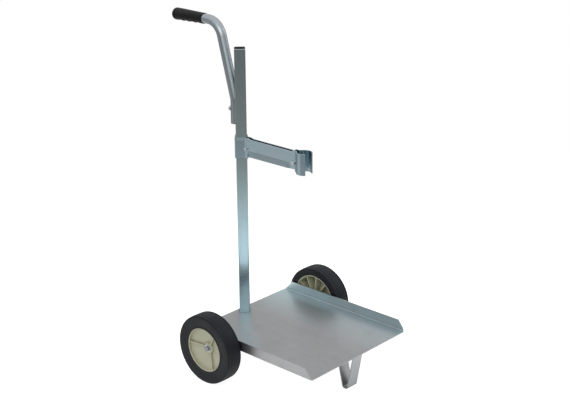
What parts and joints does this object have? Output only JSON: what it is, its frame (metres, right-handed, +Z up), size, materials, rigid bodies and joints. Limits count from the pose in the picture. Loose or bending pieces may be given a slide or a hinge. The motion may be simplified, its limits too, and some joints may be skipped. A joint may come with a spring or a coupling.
{
  "type": "hand truck",
  "caption": "Two-wheel hand truck with a lipped sheet platform, front foot, square post, bent handle with moulded grip and a sliding support arm with a sprung tube clip.",
  "frame": {"origin": "on the floor, at the middle of the whole truck's box, which is almost under the axle", "axes": "+Z up, -Y to the platform's front edge and the arm, +Y to the handle, X along the axle"},
  "size_m": [0.512, 0.7006, 0.9812],
  "materials": {
    "zinc_deck": "zinc plated sheet, satin, faint spangle",
    "zinc_post": "bright blue zinc plated square tube",
    "zinc_tube": "zinc plated round tube, satin",
    "zinc_arm": "blue zinc plated pressed sheet",
    "steel_cap": "pressed spring steel, dull plated",
    "zinc_fastener": "bright zinc plated fastener",
    "steel_axle": "bright drawn steel",
    "tyre_rubber": "solid black rubber, matt",
    "hub_plastic": "cream moulded plastic, semi matt",
    "bush_plastic": "natural nylon",
    "black_plastic": "black moulded plastic",
    "grip_rubber": "black moulded soft grip"
  },
  "bodies": {
    "frame": {"platform": "zinc_deck", "front_foot": "zinc_deck", "cross_channel": "zinc_deck", "axle_saddle_left": "zinc_deck", "axle_saddle_right": "zinc_deck", "post": "zinc_post", "post_cap": "black_plastic", "handle_tube": "zinc_tube", "handle_stud": "zinc_fastener", "handle_washer": "zinc_fastener", "handle_nut": "zinc_fastener", "handle_grip": "grip_rubber", "axle": "steel_axle", "inner_washer_left": "zinc_fastener", "outer_washer_left": "zinc_fastener", "push_cap_left": "steel_cap", "inner_washer_right": "zinc_fastener", "outer_washer_right": "zinc_fastener", "push_cap_right": "steel_cap"},
    "arm": {"support_arm": "zinc_arm", "arm_clip": "zinc_arm", "clamp_bolt": "zinc_fastener", "clamp_nut": "zinc_fastener", "clamp_washers": "zinc_fastener", "clip_bolt": "zinc_fastener", "clip_nut": "zinc_fastener", "clip_washers": "zinc_fastener"},
    "wheel_left": {"tyre_left": "tyre_rubber", "hub_left": "hub_plastic", "bush_left": "bush_plastic"},
    "wheel_right": {"tyre_right": "tyre_rubber", "hub_right": "hub_plastic", "bush_right": "bush_plastic"}
  },
  "joints": [
    {"name": "wheel_left_spin", "type": "hinge", "parent": "frame", "child": "wheel_left", "pos_m": [-0.22, 0.00175, 0.1], "axis": [1, 0, 0], "continuous": true},
    {"name": "wheel_right_spin", "type": "hinge", "parent": "frame", "child": "wheel_right", "pos_m": [0.22, 0.00175, 0.1], "axis": [1, 0, 0], "continuous": true},
    {"name": "arm_slide", "type": "slide", "parent": "frame", "child": "arm", "axis": [0, 0, 1], "range_m": [-0.44, 0.025]}
  ]
}
